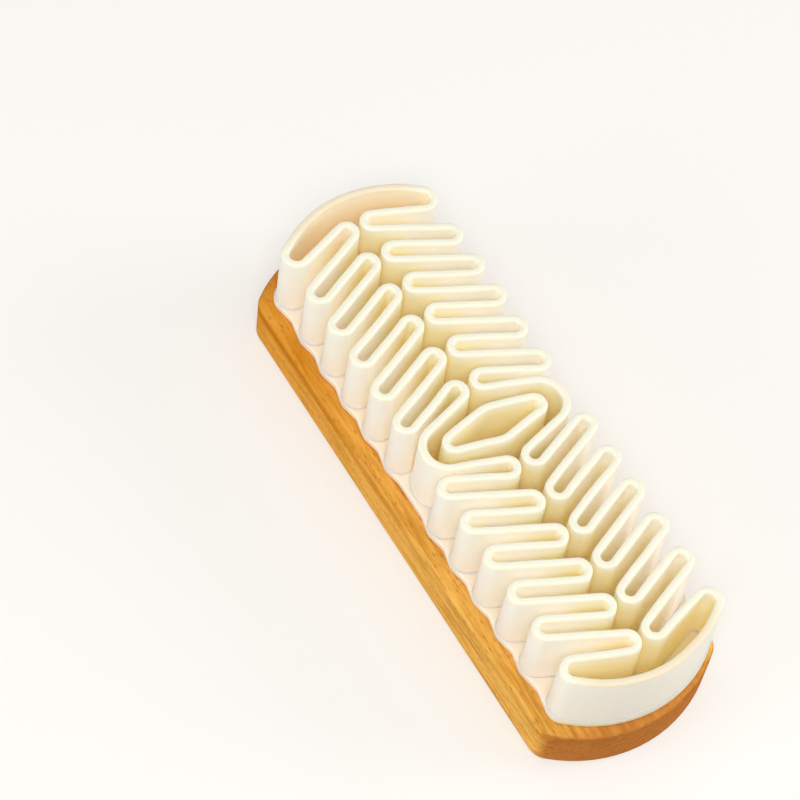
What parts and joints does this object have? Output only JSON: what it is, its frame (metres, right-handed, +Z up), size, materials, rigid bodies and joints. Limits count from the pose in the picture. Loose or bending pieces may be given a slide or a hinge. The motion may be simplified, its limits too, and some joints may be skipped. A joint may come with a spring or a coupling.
{
  "type": "suede brush",
  "caption": "Wooden-backed suede brush with an upright folded rubber wall in a herringbone of hairpins and a closed rubber ring at its centre.",
  "frame": {"origin": "middle of the flat underside of the wooden back, on the surface that the brush lies on", "axes": "+X along the brush, +Y across it, +Z up from the wood through the rubber"},
  "size_m": [0.1484, 0.0478, 0.034],
  "materials": {
    "lacquered_beech": "warm honey beech under a satin lacquer",
    "contact_cement": "dried amber cement, dull",
    "cream_rubber": "soft cream rubber, matt with a faint sheen"
  },
  "bodies": {
    "root": {"wooden_back": "lacquered_beech", "glue_film": "contact_cement", "rubber_base_sheet": "cream_rubber", "folded_rubber_wall": "cream_rubber", "centre_rubber_ring": "cream_rubber"}
  },
  "joints": []
}
